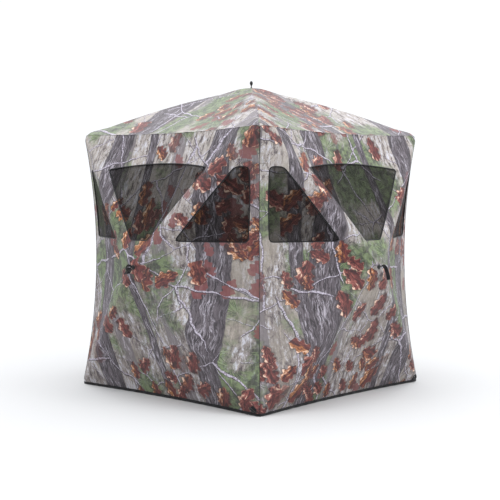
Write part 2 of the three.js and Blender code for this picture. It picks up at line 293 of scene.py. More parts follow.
def rounded(corners, radius, steps=8):
    """A closed outline with its corners rounded by radius."""
    corners = np.array(corners, float)
    u = np.linspace(0, 1, steps)[:, None]
    points = []
    for corner, before, after in zip(corners, np.roll(corners, 1, 0), np.roll(corners, -1, 0)):
        sides = before - corner, after - corner
        start, end = (corner + side * radius / np.linalg.norm(side) for side in sides)
        points.append((1 - u) ** 2 * start + 2 * u * (1 - u) * corner + u * u * end)
    return np.concatenate(points)


def middle_window():
    arch = np.linspace(0, 1, 15)
    top = [(MIDDLE_TOP_HALF * (1 - 2 * u), WINDOW_TOP + 2 * u * (1 - u) * WINDOW_ARCH) for u in arch]
    corners = [(-MIDDLE_SILL_HALF, WINDOW_SILL), (MIDDLE_SILL_HALF, WINDOW_SILL), *top]
    return resample(rounded(corners, 0.010, 4), CELL)


def side_window(sign):
    sill, top = [(sign * s, WINDOW_SILL) for s in SIDE_SILL], [(sign * s, WINDOW_TOP) for s in SIDE_TOP]
    return resample(rounded([*sill, *top[::-1]][::sign], 0.022), CELL)


def door_outline(grow=0.0):
    corners = [
        (DOOR_LATCH - grow, DOOR_LATCH_Z[0] - grow),
        (DOOR_HINGE + grow, DOOR_HINGE_Z[0] - 2 * grow),
        (DOOR_HINGE + grow, DOOR_HINGE_Z[1] + 2 * grow),
        (DOOR_LATCH - grow, DOOR_LATCH_Z[1] + grow),
    ]
    return resample(rounded(corners, DOOR_RADIUS, 12), CELL)


def door_edge(grow):
    """The door's free edges, from the top of its hinge edge round to the bottom."""
    outline = door_outline(grow)
    outline = np.roll(outline, -int(np.argmax(outline[:, 1])), 0)
    return outline[outline[:, 0] < DOOR_HINGE + grow - 0.02]


def inside(points, outline):
    """Which points lie inside a closed outline."""
    x, y = np.transpose(points)
    hit = np.zeros(len(points), bool)
    for (ax, ay), (bx, by) in zip(outline, np.roll(outline, -1, 0)):
        if ay != by:
            across = (ay > y) != (by > y)
            hit ^= across & (x < (bx - ax) * (y - ay) / (by - ay) + ax)
    return hit


def cloth_between(points, outline, holes):
    return inside(points, outline) & ~np.any([inside(points, hole) for hole in holes] or [False], axis=0)


def nearest(points, lines):
    """The distance from each point to the nearest of the lines' own points, and which one that is."""
    near, index = np.full(len(points), 9.0), np.zeros(len(points), int)
    for start in range(0, len(lines), 60):
        gap = np.linalg.norm(points[:, None] - lines[None, start:start + 60], axis=2)
        closer = gap.min(1) < near
        near = np.where(closer, gap.min(1), near)
        index = np.where(closer, gap.argmin(1) + start, index)
    return near, index


def area_within(outline, holes=()):
    loops = [loop.T for loop in (outline, *holes)]
    areas = [abs(np.sum(x * np.roll(y, -1) - y * np.roll(x, -1))) / 2 for x, y in loops]
    return areas[0] - sum(areas[1:])


def fill(outline, holes=(), creases=(), cell=CELL):
    """An even triangulation of an outline with holes, with mesh edges along the creases."""
    lines = np.concatenate([outline, *holes, *creases])
    low, high = outline.min(0), outline.max(0)
    grid = []
    for i, y in enumerate(np.arange(low[1], high[1], cell * math.sqrt(0.75))):
        x = np.arange(low[0] + (i % 2) * cell / 2, high[0], cell)
        grid.append(np.stack([x, np.full_like(x, y)], 1))
    grid = np.concatenate(grid)
    grid = grid[cloth_between(grid, outline, holes)]
    grid = grid[nearest(grid, lines)[0] > 0.62 * cell]
    edges, start = [], 0
    for line in (outline, *holes, *creases):
        edges += [(start + i, start + i + 1) for i in range(len(line) - 1)]
        start += len(line)
        if start <= len(lines) - sum(len(crease) for crease in creases):
            edges.append((start - 1, start - len(line)))
    verts = [Vector(v) for v in np.concatenate([lines, grid])]
    out = geometry.delaunay_2d_cdt(verts, edges, [], 0, 1e-6, False)
    points, tris = np.array([tuple(v) for v in out[0]]), np.array(out[2])
    a, b, c = (points[tris[:, i]] for i in range(3))
    area = (b[:, 0] - a[:, 0]) * (c[:, 1] - a[:, 1]) - (b[:, 1] - a[:, 1]) * (c[:, 0] - a[:, 0])
    keep = cloth_between((a + b + c) / 3, outline, holes) & (np.abs(area) > 1e-9)
    tris = np.where((area < 0)[:, None], tris[:, ::-1], tris)[keep]
    used = np.unique(tris)
    renumber = np.zeros(len(points), int)
    renumber[used] = np.arange(len(used))
    return points[used], renumber[tris]


# ---- how the cloth is creased ----


def noise_at(points, scale, seed):
    return np.array([noise.noise(Vector((s * scale, t * scale, seed))) for s, t in points])


def fans(points, centre, count, size, start, reach, seed):
    """Folds that spread from a point where the cloth is pulled."""
    away = points - centre
    r, angle = np.hypot(*away.T), np.arctan2(away[:, 1], away[:, 0])
    wave = np.sin(count * angle + 4 * noise_at(away, 3.0, seed))
    return size * wave * np.clip(r / start, 0, 1) ** 2 * np.exp(-np.clip(r - start, 0, None) / reach)


def creases(points, k):
    """How far a face's cloth stands proud in waves, in folds from its hub and corners, and in puckers along
    its sewn edges."""
    if k is None:
        waves = [(0.004, 2.1, 63.0), (0.0014, 7.0, 67.0)]
        folds = [((0, 0), 12, 0.0030, 0.05, 0.15, 71.0)]
        for i, (sx, sy) in enumerate(((-1, -1), (1, -1), (1, 1), (-1, 1))):
            folds.append(((sx * TOP_HALF, sy * TOP_HALF), 22, 0.0024, 0.06, 0.25, 75.0 + i))
        pitch, size, reach, seed = 0.05, 0.0018, 0.04, 81.0
    else:
        waves = [(0.0035, 2.3, 3.0 + k), (0.0014, 7.5, 17.0 + k)]
        folds = [((0, HUB_Z), 12, 0.0028, 0.05, 0.13, 5.0 + k)]
        for i, sign in enumerate((-1, 1)):
            folds.append(((sign * TOP_HALF, WALL_HEIGHT), 22, 0.0022, 0.06, 0.22, 21.0 + k + i))
            folds.append(((sign * FOOT_HALF, 0), 20, 0.0026, 0.06, 0.25, 31.0 + k + i))
        pitch, size, reach, seed = 0.052, 0.0016, 0.035, 41.0 + k
    lift = sum(height * noise_at(points, scale, at) for height, scale, at in waves)
    lift += sum(fans(points, *fold) for fold in folds)

    outline = face_of(k).outline()
    near, index = nearest(points, outline)
    along = np.concatenate([[0], np.cumsum(np.linalg.norm(np.diff(outline, axis=0), axis=1))])[index]
    wobble = noise_at(points, 9.0, seed)
    wave = np.sin(2 * math.pi * along / pitch + 5 * wobble)
    lift += size * wave * np.exp(-near / reach) * np.clip(near / 0.010, 0, 1) * (0.6 + 0.8 * wobble)
    return lift * np.clip(near / 0.03, 0, 1)


def on_face(k, points, depth):
    """Points of a face in the cabin, depth inside its creased cloth."""
    return place(k, points, depth - creases(points, k))


def share_on_face(k, points):
    """How far points of a face follow its hub. Beside the door the cloth moves with the door's facet instead,
    so that the zip stays closed when the hub pops."""
    s, t = points.T
    share = face_of(k).pop(s, t)
    if k != DOOR_WALL:
        return share
    fold = joints["door_facet_fold"]
    angle = math.radians(fold["range_deg"][1])
    pivot_s, pivot_n = -fold["pos_m"][0], fold["pos_m"][1] - half_width(HUB_Z)
    n = wall_face.height(s, t)
    folded = pivot_n + math.sin(angle) * (s - pivot_s) + math.cos(angle) * (n - pivot_n)
    wanted = np.clip((n - folded) / (2 * BULGE), 0, 1)
    near = nearest(points, door_outline())[0]
    near[inside(points, door_outline())] = 0
    edge = np.clip(nearest(points, wall_face.outline())[0] / 0.05, 0, 1)
    return share + (wanted - share) * smooth(1 - near / 0.11) * edge


# ---- meshes ----


def new_object(name, verts, faces, *materials):
    mesh = bpy.data.meshes.new(name)
    mesh.from_pydata([tuple(v) for v in verts], [], [tuple(int(i) for i in f) for f in faces])
    mesh.update()
    piece = bpy.data.objects.new(name, mesh)
    scene.collection.objects.link(piece)
    for material in materials:
        mesh.materials.append(material)
    mesh.polygons.foreach_set("use_smooth", np.ones(len(mesh.polygons), bool))
    return piece


def solid(name, verts, faces, material):
    """A closed mesh with its faces turned outwards."""
    piece = new_object(name, verts, faces, material)
    bm = bmesh.new()
    bm.from_mesh(piece.data)
    bmesh.ops.recalc_face_normals(bm, faces=bm.faces)
    bm.to_mesh(piece.data)
    bm.free()
    return piece


def dress(piece, node=None, body=None, sharp=None):
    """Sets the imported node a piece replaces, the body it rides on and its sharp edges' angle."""
    if sharp:
        piece.data.set_sharp_from_angle(angle=math.radians(sharp))
    if node:
        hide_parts(node)
    if body:
        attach(piece, body)


def set_attribute(mesh, name, kind, domain, values):
    attribute = mesh.attributes.get(name) or mesh.attributes.new(name, kind, domain)
    key = "vector" if kind == "FLOAT_VECTOR" else "value"
    attribute.data.foreach_set(key, np.asarray(values, np.float32).ravel())


def set_blend(piece, start_body, end_body, start, end, weights):
    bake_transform(piece, start_body, end_body, start=tuple(start), end=tuple(end))
    set_attribute(piece.data, "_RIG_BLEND", "FLOAT", "POINT", weights)


def follow_hub(piece, k, weights):
    """The piece follows its face's hub through the face."""
    if k is None:
        ends = [(0, 0, WALL_HEIGHT), (0, 0, WALL_HEIGHT + ROOF_RISE)]
    else:
        ends = turned([[0, -FOOT_HALF, HUB_Z], [0, -FOOT_HALF - BULGE, HUB_Z]], k)
    set_blend(piece, "cabin", f"{face_name(k)}_hub", *ends, weights)


def set_print(mesh, flat, stretch):
    """Lays the printed cloth over a mesh. flat is each vertex's place on its face, and stretch picks another
    part of the print. Without it the mesh is the roof, whose four gores carry the print up their slopes."""
    corners = np.zeros(len(mesh.loops), np.int32)
    mesh.loops.foreach_get("vertex_index", corners)
    x, y = flat[corners].T
    if stretch is None:
        counts = np.array([polygon.loop_total for polygon in mesh.polygons])
        starts = np.cumsum(counts) - counts
        middle = np.add.reduceat(flat[corners], starts) / counts[:, None]
        gore = np.round(np.arctan2(middle[:, 0], -middle[:, 1]) / (math.pi / 2)).astype(int) % 4
        gore = np.repeat(gore, counts)
        c, s = np.cos(gore * math.pi / 2), np.sin(gore * math.pi / 2)
        x, y = x * c + y * s, WALL_HEIGHT + (TOP_HALF - x * s + y * c) * 1.08
        stretch = 1.0 + 0.5 * gore
    set_attribute(mesh, "print", "FLOAT_VECTOR", "CORNER", np.stack([x, y, stretch + 0 * x], 1))


def cloth(name, k, layers, tris, flat, *materials):
    """A closed sheet of face k between two layers of the same triangles, outer and inner."""
    count = len(flat)
    keys = {(int(t[i]), int(t[i - 2])) for t in tris for i in range(3)}
    border = sorted((a, b) for a, b in keys if (b, a) not in keys)
    faces = [*tris, *(t[::-1] + count for t in tris), *((b, a, a + count, b + count) for a, b in border)]
    piece = new_object(name, np.concatenate(layers), faces, *materials)
    index = np.full(len(faces), len(materials) - 1, np.int32)
    index[:len(tris)] = 0
    piece.data.polygons.foreach_set("material_index", index)
    set_print(piece.data, np.concatenate([flat, flat]), None if k is None else PRINT_STEP * k)
    return piece


# ---- camera, light and floor ----

CAMERA_AZIMUTH = math.radians(47.479)
CAMERA_YAW = math.radians(-0.0708)
CAMERA_PITCH = math.radians(3.006)
CAMERA_DISTANCE = 7.093
CAMERA_HEIGHT = 1.259
LENS = 76.99

WORLD_COLOUR = (0.98, 0.995, 1.02, 1)
WHITE = 1.05
ZENITH_LIGHT = 3.1
HORIZON_LIGHT = 0.18
KEY_LIGHT = 70.0
KEY_SIZE = 3.5
KEY_PLACE = Vector((0.8, -6.0, 3.0))
KEY_TARGET = Vector((0, 0, 0.7))
FLOOR_SHADE = 0.55
FLOOR_HALF = 60.0


def aimed(name, data, place, direction):
    thing = bpy.data.objects.new(name, data)
    scene.collection.objects.link(thing)
    thing.location = place
    thing.rotation_euler = direction.to_track_quat("-Z", "Y").to_euler()
    return thing


def make_camera():
    data = bpy.data.cameras.new("camera")
    data.lens = LENS
    data.sensor_width = 36
    away = CAMERA_DISTANCE * Vector((-math.sin(CAMERA_AZIMUTH), -math.cos(CAMERA_AZIMUTH), 0))
    heading = CAMERA_AZIMUTH + CAMERA_YAW
    level = math.cos(CAMERA_PITCH)
    forward = Vector((math.sin(heading) * level, math.cos(heading) * level, -math.sin(CAMERA_PITCH)))
    scene.camera = aimed("camera", data, away + Vector((0, 0, CAMERA_HEIGHT)), forward)


def make_studio():
    """A white sweep: the lens sees it pure white, and it lights the object softly, most of all from above."""
    world = bpy.data.worlds.new("studio")
    scene.world = world
    world.use_nodes = True
    tree = world.node_tree
    background = tree.nodes["Background"]
    background.inputs["Color"].default_value = WORLD_COLOUR
    seen = tree.nodes.new("ShaderNodeLightPath").outputs["Is Camera Ray"]
    parts = tree.nodes.new("ShaderNodeSeparateXYZ")
    tree.links.new(tree.nodes.new("ShaderNodeTexCoord").outputs["Generated"], parts.inputs[0])

    def math_node(operation, *values):
        node = tree.nodes.new("ShaderNodeMath")
        node.operation = operation
        for socket, value in zip(node.inputs, values):
            if isinstance(value, float):
                socket.default_value = value
            else:
                tree.links.new(value, socket)
        return node.outputs[0]

    height = math_node("MAXIMUM", parts.outputs["Z"], 0.0)
    dome = math_node("MULTIPLY_ADD", math_node("POWER", height, 1.5), ZENITH_LIGHT, HORIZON_LIGHT)
    shown = math_node("MULTIPLY", seen, WHITE)
    lighting = math_node("MULTIPLY", math_node("SUBTRACT", 1.0, seen), dome)
    tree.links.new(math_node("ADD", shown, lighting), background.inputs["Strength"])

    key = bpy.data.lights.new("key", "AREA")
    key.shape = "DISK"
    key.size = KEY_SIZE
    key.energy = KEY_LIGHT
    aimed("key", key, KEY_PLACE, KEY_TARGET - KEY_PLACE)

    material = bpy.data.materials.new("floor")
    material.use_nodes = True
    shader = material.node_tree.nodes["Principled BSDF"]
    shader.inputs["Base Color"].default_value = (FLOOR_SHADE, FLOOR_SHADE, FLOOR_SHADE, 1)
    shader.inputs["Roughness"].default_value = 0.95
    shader.inputs["Specular IOR Level"].default_value = 0.0
    corners = [(x * FLOOR_HALF, y * FLOOR_HALF, 0) for x, y in ((-1, -1), (1, -1), (1, 1), (-1, 1))]
    new_object("floor", corners, [(0, 1, 2, 3)], material)


scene.view_settings.view_transform = "Standard"
make_camera()
make_studio()


# ---- materials ----


def tone(r, g, b):
    """A colour from its 8-bit values."""
    return *(c / 255 / 12.92 if c <= 10 else ((c / 255 + 0.055) / 1.055) ** 2.4 for c in (r, g, b)), 1.0


class Value:
    """A number or colour inside a material. Arithmetic on it adds Math nodes."""

    def __init__(self, graph, out):
        self.graph = graph
        self.out = out


def arithmetic(operation, swapped):
    def apply(self, other):
        return self.graph.math(operation, *((other, self) if swapped else (self, other)))

    return apply


for symbol, operation in (("add", "ADD"), ("sub", "SUBTRACT"), ("mul", "MULTIPLY"), ("truediv", "DIVIDE")):
    setattr(Value, f"__{symbol}__", arithmetic(operation, False))
    setattr(Value, f"__r{symbol}__", arithmetic(operation, True))


class Graph:
    """A material's nodes."""

    def __init__(self, name):
        self.material = bpy.data.materials.new(name)
        self.material.use_nodes = True
        self.tree = self.material.node_tree
        self.shader = self.tree.nodes["Principled BSDF"]

    def wire(self, socket, value):
        if isinstance(value, Value):
            self.tree.links.new(value.out, socket)
        else:
            socket.default_value = value

    def node(self, kind, values=(), **settings):
        """Adds a node. values go to its inputs in order, or by the inputs' names or numbers."""
        node = self.tree.nodes.new(kind)
        for key, value in settings.items():
            setattr(node, key, value)
        for key, value in values.items() if isinstance(values, dict) else enumerate(values):
            self.wire(node.inputs[key], value)
        return node

    def math(self, operation, *values):
        return Value(self, self.node("ShaderNodeMath", values, operation=operation).outputs[0])

    def abs(self, value):
        return self.math("ABSOLUTE", value)

    def ramp(self, value, low, high):
        """0 where value is at low and 1 where it is at high, smoothly between."""
        values = value, low, high
        node = self.node("ShaderNodeMapRange", values, interpolation_type="SMOOTHSTEP", clamp=True)
        return Value(self, node.outputs[0])

    def vector(self, x=0.0, y=0.0, z=0.0):
        return Value(self, self.node("ShaderNodeCombineXYZ", (x, y, z)).outputs[0])

    def parts(self, vector):
        return [Value(self, out) for out in self.node("ShaderNodeSeparateXYZ", (vector,)).outputs]

    def attribute(self, name):
        return Value(self, self.node("ShaderNodeAttribute", attribute_name=name).outputs["Vector"])

    def position(self):
        return Value(self, self.node("ShaderNodeTexCoord").outputs["Object"])

    def noise(self, vector, scale, detail=2.0, rough=0.5, out="Fac"):
        values = {"Vector": vector, "Scale": scale, "Detail": detail, "Roughness": rough}
        return Value(self, self.node("ShaderNodeTexNoise", values).outputs[out])

    def cells(self, vector, scale, feature="F1", spread=1.0):
        values = {"Vector": vector, "Scale": scale, "Randomness": spread}
        node = self.node("ShaderNodeTexVoronoi", values, voronoi_dimensions="2D", feature=feature)
        return {out.name.lower(): Value(self, out) for out in node.outputs if out.enabled}

    def random(self, value):
        node = self.node("ShaderNodeTexWhiteNoise", {"W": value}, noise_dimensions="1D")
        return Value(self, node.outputs["Value"])

    def mix(self, share, a, b):
        return Value(self, self.node("ShaderNodeMix", {0: share, 6: a, 7: b}, data_type="RGBA").outputs[2])

    def bump(self, height, strength, distance):
        node = self.node("ShaderNodeBump", {"Strength": strength, "Distance": distance, "Height": height})
        self.tree.links.new(node.outputs["Normal"], self.shader.inputs["Normal"])

    def finish(self, colour, roughness, **settings):
        self.wire(self.shader.inputs["Base Color"], colour)
        self.wire(self.shader.inputs["Roughness"], roughness)
        for key, value in settings.items():
            self.shader.inputs[key.replace("_", " ")].default_value = value
        return self.material


class Woodland:
    """A generic woodland print: grass, trunks, needles, twigs and fallen leaves, drawn from the cloth's own
    coordinates in metres: u across the cloth and v up it. The third one picks another stretch of it."""

    def __init__(self, graph):
        g = self.g = graph
        self.spot = g.attribute("print")
        self.u, self.v, self.w = g.parts(self.spot)
        self.x, self.y = self.u + self.w * 3.7, self.v + self.w * 1.9
        dx, dy, _ = g.parts(g.noise(self.spot, 6.0, 3.0, 0.5, "Color"))
        self.warp_x, self.warp_y = dx - 0.5, dy - 0.5

    def stretched(self, across, along, seed):
        return self.g.vector(self.u * across, self.v * along, self.w * 5.0 + seed)

    def shifted(self, seed):
        return self.g.vector(self.x + seed, self.y + seed * 0.7)

    def local(self, cell, spot):
        """The place inside a cell, from its feature point, in metres."""
        sx, sy, _ = self.g.parts(spot)
        px, py, _ = self.g.parts(cell["position"])
        return sx - px, sy - py

    def slanted(self, lean, seed, warp, stretch):
        """The place along and across lines that lean by an angle from level, wavering a little."""
        u, v = self.x + self.warp_x * warp + seed, self.y + self.warp_y * warp
        c, s = math.cos(lean), math.sin(lean)
        return self.g.vector((u * c + v * s) * stretch, v * c - u * s)

    def ground(self):
        g = self.g
        patches = g.noise(self.spot, 3.2, 2.0)
        grain = g.noise(self.spot, 110.0, 4.0, 0.7)
        grass = g.noise(self.stretched(70.0, 8.0, 3.0), 1.0, 3.0, 0.6)
        litter = g.noise(self.stretched(40.0, 15.0, 9.0), 1.0, 5.0, 0.78)
        busy = g.ramp(g.noise(self.stretched(4.2, 2.6, 31.0), 1.0, 2.0), 0.38, 0.52)
        # Painted light: the print is lightened towards the top of each wall and over the whole roof, where
        # light from above falls.
        high = g.ramp(self.v + patches * 0.5, 0.9, 1.7)
        colour = g.mix(g.ramp(patches, 0.35, 0.65), tone(156, 148, 138), tone(132, 124, 116))
        colour = g.mix(busy * 0.4, colour, tone(146, 138, 142))
        # Painted light from above: the pale tone laid over the upper walls and the roof.
        colour = g.mix(high * 0.6, colour, tone(188, 180, 174))
        colour = g.mix(g.ramp(litter, 0.52, 0.60) * (busy * 0.7 + 0.2), colour, tone(206, 206, 216))
        colour = g.mix(g.ramp(litter, 0.48, 0.41) * (busy * 0.7 + 0.25), colour, tone(68, 58, 66))
        colour = g.mix(g.ramp(grass, 0.56, 0.66) * 0.5, colour, tone(190, 180, 168))
        colour = g.mix(g.ramp(grass, 0.42, 0.34) * 0.6, colour, tone(100, 88, 80))
        colour = self.hairs(colour, 9.0, 0.0016, busy * 0.6 + 0.4, 5.0)
        return g.mix(g.ramp(grain, 0.35, 0.7) * 0.3, colour, tone(98, 88, 84))

    def hairs(self, below, scale, width, patch, seed):
        """A net of fine dark stems."""
        g = self.g
        line = g.cells(self.slanted(1.25, seed, 0.12, 0.5), scale, "DISTANCE_TO_EDGE")["distance"]
        return g.mix(g.ramp(line * (1 / scale), width, width * 0.4) * patch * 0.55, below, tone(84, 72, 72))

    def trunk(self, below, period, lean, widths, share, seed, pale=0.0):
        """Leaning trunks, one to a period, over the colour below."""
        g = self.g
        x = (self.u + self.v * lean + self.warp_x * 0.03 + self.w * 2.3) / period + seed
        cell = g.math("FLOOR", x)
        place = g.random(cell + seed * 3.0)
        size = g.random(cell + seed * 7.0 + 11.0)
        here = g.math("LESS_THAN", g.random(cell + seed * 13.0 + 29.0), share)
        half = size * (widths[1] - widths[0]) / 2 + widths[0] / 2
        across = (g.math("FRACT", x) - 0.5 - (place - 0.5) * 0.5) * period
        c = across / half
        ragged = g.noise(self.stretched(30.0, 22.0, seed), 1.0, 3.0, 0.6)
        mask = g.ramp(g.abs(c) + ragged * 0.18, 1.1, 1.04) * here
        bark = g.vector(across * 110.0 + self.warp_x * 5.0, self.v * 13.0, cell + seed)
        fibre = g.noise(bark, 1.0, 5.0, 0.78)
        bark = g.vector(across * 32.0 + self.warp_x * 4.0, self.v * 6.0, cell + seed + 5.0)
        plates = g.noise(bark, 1.0, 5.0, 0.72)
        shade = g.ramp(g.abs(c + 0.15), 0.3, 1.05)
        dark, middle, light = tone(44, 38, 44), tone(98, 90, 97), tone(172, 166, 176)
        colour = g.mix(g.ramp(fibre, 0.43, 0.54), dark, middle)
        lit = g.ramp(plates, 0.48, 0.58) * g.ramp(fibre, 0.47, 0.56) * (1 - shade * 0.6)
        colour = g.mix(shade * 0.45, g.mix(lit, colour, light), dark)
        if pale:
            colour = g.mix(pale, colour, tone(160, 152, 152))
        return g.mix(mask, below, colour)

    def needles(self, below, scale, reach, threshold, seed):
        """Bursts of pine needles over a soft green haze."""
        g = self.g
        area = g.noise(self.stretched(2.1, 1.7, seed), 1.0, 2.0)
        haze = g.ramp(area + g.noise(self.spot, 28.0, 3.0, 0.6) * 0.16, threshold + 0.07, threshold + 0.16)
        cell = g.cells(self.shifted(seed), scale)
        dx, dy = self.local(cell, self.shifted(seed))
        far = g.math("SQRT", dx * dx + dy * dy)
        pick, _, _ = g.parts(cell["color"])
        cx, cy = dx / (far + 0.0005), dy / (far + 0.0005)
        lines = g.noise(g.vector(cx * 8.0, cy * 8.0, pick * 40.0 + far * 5.0), 1.0, 2.0, 0.7)
        burst = g.ramp(lines, 0.47, 0.56) * g.ramp(far + lines * 0.04, reach, reach * 0.55)
        shade = g.noise(self.spot, 22.0, 4.0, 0.7)
        green = g.mix(g.ramp(shade, 0.40, 0.60), tone(44, 54, 38), tone(108, 126, 84))
        fine = g.noise(g.vector(cx * 15.0, cy * 15.0, pick * 70.0 + far * 9.0), 1.0, 2.0)
        bright = g.mix(g.ramp(fine, 0.45, 0.6), tone(54, 72, 44), tone(136, 152, 110))
        colour = g.mix(haze * 0.85, below, green)
        return g.mix(burst * g.ramp(area, threshold + 0.01, threshold + 0.06) * 0.85, colour, bright)

    def twigs(self, below, scale, width, threshold, seed, lean):
        """Pale forking branches with a dark underside, which taper to nothing at the end of their patch."""
        g = self.g
        patch = g.noise(self.stretched(2.6, 2.6, seed + 4.0), 1.0, 2.0)
        thin = g.noise(self.spot, 5.0, 1.0) * width + width * 0.5
        thin = thin * g.ramp(patch, threshold, threshold + 0.12) - 0.0003
        spot = self.slanted(lean, seed, 0.09, 0.45)
        lower = g.node("ShaderNodeVectorMath", (spot, (0.0, width * 0.8, 0.0)), operation="ADD")
        lower = Value(g, lower.outputs[0])
        edges = (g.cells(at, scale, "DISTANCE_TO_EDGE")["distance"] for at in (spot, lower))
        lit, under = (edge * (1 / scale) for edge in edges)
        rough = g.noise(self.spot, 120.0, 2.0)
        colour = g.mix(g.math("LESS_THAN", under, thin * 0.9) * 0.75, below, tone(52, 44, 52))
        bark = g.mix(g.ramp(rough, 0.38, 0.6), tone(118, 108, 120), tone(196, 190, 204))
        return g.mix(g.math("LESS_THAN", lit, thin * 0.6), colour, bark)

    def leaves(self, below, scale, length, threshold, seed, flat_colour=None):
        """Ragged hanging leaves in clumps. A flat colour makes them plain far silhouettes."""
        g = self.g
        spot = self.shifted(seed)
        cell = g.cells(spot, scale, spread=0.7)
        dx, dy = self.local(cell, spot)
        turn, pick, other = g.parts(cell["color"])
        angle = turn * 2.4 + 0.4
        c, s = g.math("COSINE", angle), g.math("SINE", angle)
        size = (pick * 0.4 + 0.7) * length
        x, y = (dx * c + dy * s) / size, (dy * c - dx * s) / size
        curl = g.noise(g.vector(x * 2.2, y * 2.2, pick * 50.0), 1.0, 3.0, 0.65)
        y = y + (curl - 0.5) * 0.35
        taper = g.math("SQRT", g.math("MAXIMUM", 1.0 - x * x, 0.0))
        lobes = g.math("COSINE", x * 10.5 + other * 2.0) * 0.13
        edge = g.abs(y) - taper * (lobes + 0.40 + curl * 0.3) * (1.0 - x * 0.25)
        px, py, _ = g.parts(cell["position"])
        clump = g.noise(g.vector(px * 2.0, py * 2.0, seed * 5.0), 1.0, 2.0)
        here = g.ramp(clump, threshold, threshold + 0.01)
        mask = g.ramp(edge, 0.0, -0.05) * here
        if flat_colour:
            mottle = g.noise(self.spot, 60.0, 3.0)
            return g.mix(mask * 0.85, below, g.mix(mottle, flat_colour, tone(134, 76, 74)))
        below = g.mix(g.ramp(edge, 0.28, 0.0) * g.ramp(taper, 0.0, 0.4) * here * 0.5, below, tone(48, 34, 34))
        folds = g.noise(g.vector(x * 2.0, y * 4.6, pick * 30.0), 1.0, 4.0, 0.66)
        light = folds + y * 0.30
        rim = g.ramp(edge, -0.12, -0.03) * g.ramp(folds, 0.46, 0.58)
        colour = g.mix(g.ramp(folds, 0.36, 0.56), tone(46, 20, 24), tone(102, 44, 42))
        warm = g.mix(g.ramp(other, 0.45, 0.75), tone(158, 92, 82), tone(186, 122, 62))
        colour = g.mix(g.ramp(light, 0.50, 0.66) * 0.7, colour, warm)
        colour = g.mix(g.ramp(light, 0.64, 0.74), colour, tone(232, 204, 180))
        colour = g.mix(rim * 0.6, colour, tone(220, 176, 156))
        vein = g.ramp(g.abs(y), 0.045, 0.015)
        return g.mix(mask, below, g.mix(vein * 0.7, colour, tone(50, 20, 22)))

    def colour(self):
        c = self.ground()
        c = self.trunk(c, 0.55, 0.06, (0.07, 0.12), 0.9, 1.0, pale=0.35)
        c = self.twigs(c, 4.0, 0.0034, 0.36, 7.7, -0.5)
        c = self.needles(c, 4.4, 0.15, 0.49, 1.7)
        c = self.trunk(c, 0.83, -0.05, (0.16, 0.26), 0.95, 2.0)
        c = self.leaves(c, 6.4, 0.062, 0.57, 3.1, flat_colour=tone(98, 42, 46))
        c = self.twigs(c, 2.7, 0.0046, 0.37, 0.4, 0.55)
        c = self.trunk(c, 1.25, 0.10, (0.06, 0.09), 0.7, 5.0)
        c = self.twigs(c, 2.0, 0.0062, 0.38, 2.2, -0.7)
        c = self.leaves(c, 6.2, 0.080, 0.57, 0.9)
        c = self.leaves(c, 5.6, 0.088, 0.56, 4.6)
        return self.leaves(c, 7.4, 0.066, 0.575, 6.3)


def camo_cloth():
    g = Graph("camo_cloth")
    colour = Woodland(g).colour()
    u, v, w = g.parts(g.attribute("print"))
    weave = g.math("SINE", u * 4200.0) * g.math("SINE", v * 4200.0)
    slub = g.noise(g.vector(u * 900.0, v * 120.0, w), 1.0, 2.0)
    g.bump(weave * 0.4 + slub, 0.22, 0.0006)
    # A random pale fade of the cloth, plus a painted highlight: every roof gore (w of 1 or more) is lightened
    # as if lit from above.
    fade_and_roof_highlight = g.noise(g.position(), 2.5, 2.0) * 0.1 + g.ramp(w, 0.9, 1.0) * 0.08
    colour = g.mix(fade_and_roof_highlight, colour, tone(214, 212, 212))
    roughness = g.noise(g.position(), 40.0) * 0.14 + 0.68
    return g.finish(colour, roughness, Sheen_Weight=0.06, Specular_IOR_Level=0.2)


def net_cloth():
    g = Graph("window_net")
    # Painted shade: the net's print is darkened most of the way to near-black, for the dark inside seen
    # through the mesh.
    colour = g.mix(0.76, Woodland(g).colour(), tone(16, 15, 13))
    u, v, _ = g.parts(g.attribute("print"))
    threads = g.math("MAXIMUM", g.math("SINE", u * 2600.0), g.math("SINE", v * 2600.0))
    # Painted shade: the gaps between the threads are darkened further, where the dark inside shows through.
    colour = g.mix(g.ramp(threads, 0.2, -0.4) * 0.4, colour, tone(20, 20, 20))
    g.bump(threads, 0.2, 0.0004)
    g.wire(g.shader.inputs["Alpha"], g.ramp(threads, -0.6, 0.4) * 0.12 + 0.86)
    return g.finish(colour, 0.82, Specular_IOR_Level=0.2)


def coated_inside():
    g = Graph("black_coating")
    u, v, _ = g.parts(g.attribute("print"))
    rip = g.math("SINE", u * 1400.0) * g.math("SINE", v * 1400.0)
    crumple = g.noise(g.position(), 45.0, 4.0, 0.6)
    g.bump(rip * 0.3 + crumple, 0.25, 0.0008)
    colour = g.mix(g.noise(g.position(), 12.0, 3.0), tone(26, 26, 28), tone(44, 44, 47))
    return g.finish(colour, crumple * 0.25 + 0.42, Specular_IOR_Level=0.45)


def webbing(name, shade):
    g = Graph(name)
    x, y, z = g.parts(g.position())
    rib = g.math("SINE", (x + y + z) * 2400.0)
    cross = g.math("SINE", (x - y + z) * 2400.0)
    fuzz = g.noise(g.position(), 500.0, 3.0)
    g.bump(rib * cross * 0.6 + fuzz, 0.35, 0.0006)
    worn = g.ramp(g.noise(g.position(), 30.0, 4.0, 0.6), 0.35, 0.7)
    colour = g.mix(worn, tone(shade - 8, shade - 8, shade - 6), tone(shade + 10, shade + 10, shade + 13))
    return g.finish(colour, 0.85, Sheen_Weight=0.2, Specular_IOR_Level=0.25)


